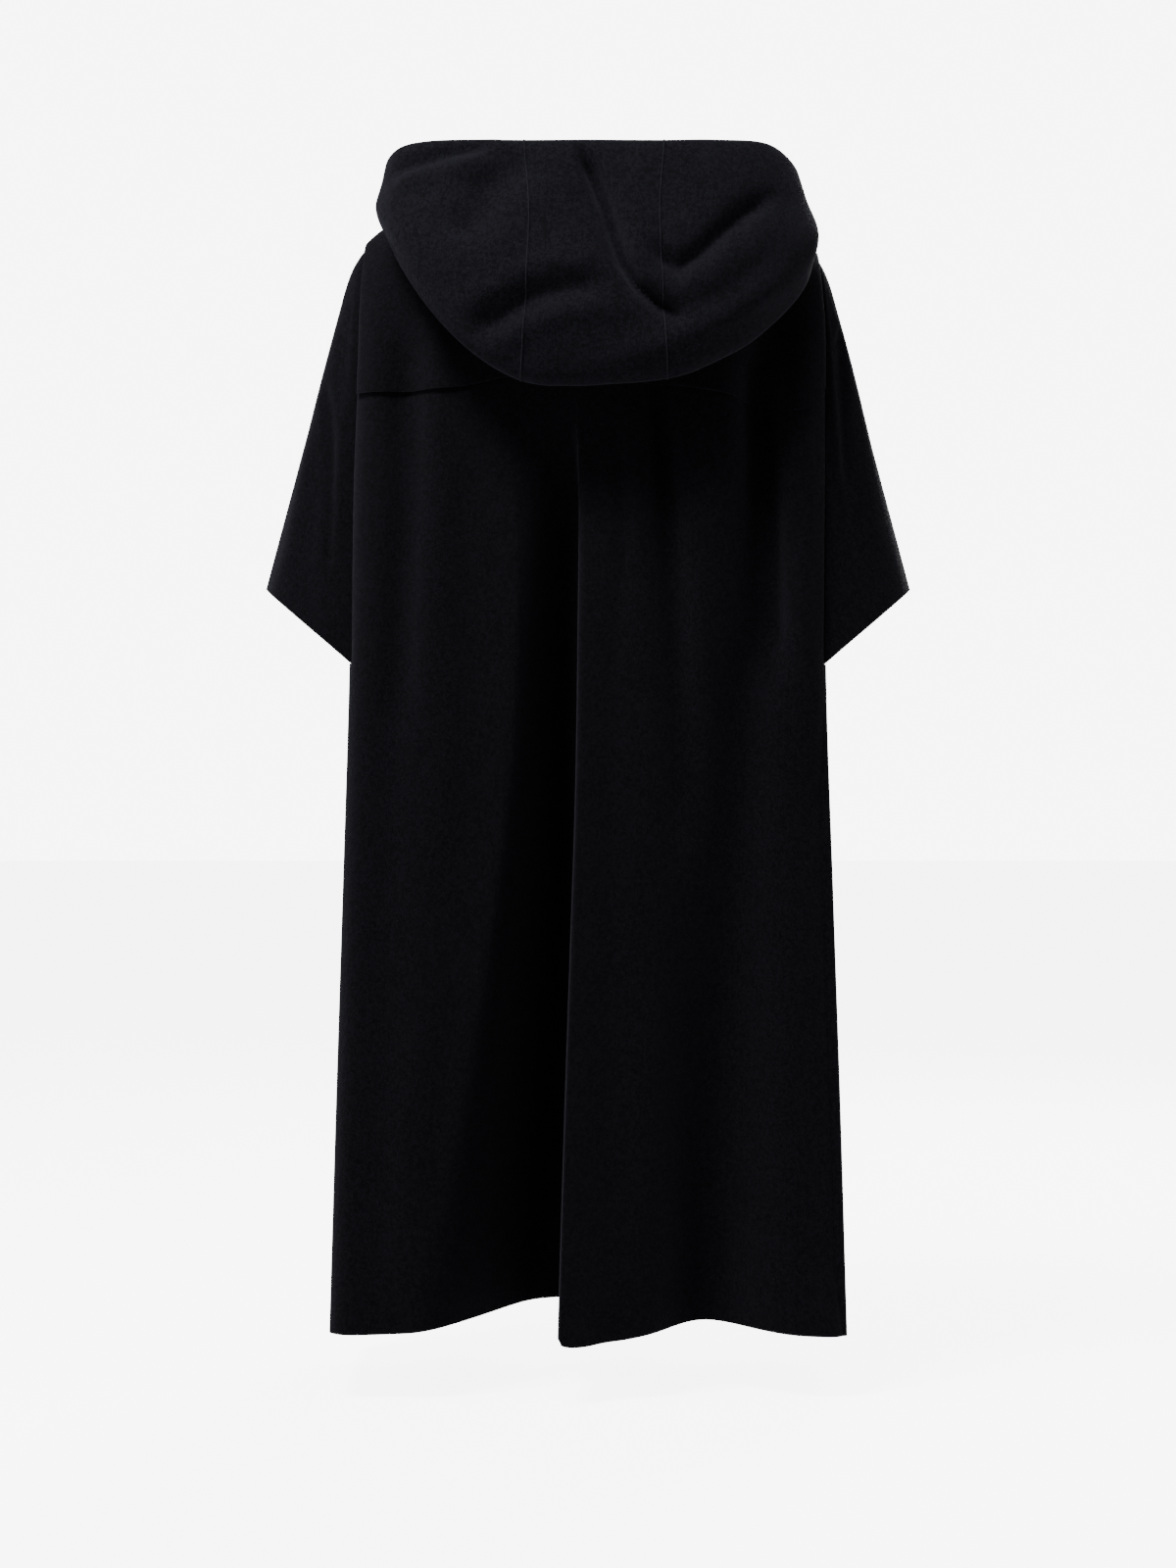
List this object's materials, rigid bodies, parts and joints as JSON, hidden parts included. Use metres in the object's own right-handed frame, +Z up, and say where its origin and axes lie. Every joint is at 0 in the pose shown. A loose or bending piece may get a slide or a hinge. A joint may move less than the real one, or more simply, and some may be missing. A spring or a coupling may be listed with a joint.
{
  "type": "hooded poncho",
  "caption": "Long hooded poncho of thick felted wool with short cape sleeves, a back yoke flap, a deep overlapping fold down the back and its hood lying down.",
  "frame": {"origin": "where the wearer's shoulders carry the cloth: on the shoulder line, midway between the arms, 72 mm below the neck end of the shoulder seams", "axes": "+Z up, +Y out of the wearer's back, +X to the wearer's left, so the wearer faces -Y"},
  "size_m": [0.6103, 0.3241, 1.0948],
  "materials": {
    "black_wool": "matt felted wool",
    "black_wool_hood": "matt felted wool with a slightly paler nap"
  },
  "bodies": {
    "root": {"back_panel": "black_wool", "front_panel": "black_wool", "sleeve_left": "black_wool", "sleeve_right": "black_wool", "back_yoke": "black_wool", "hood_left": "black_wool_hood", "hood_centre": "black_wool_hood", "hood_right": "black_wool_hood"}
  },
  "joints": []
}
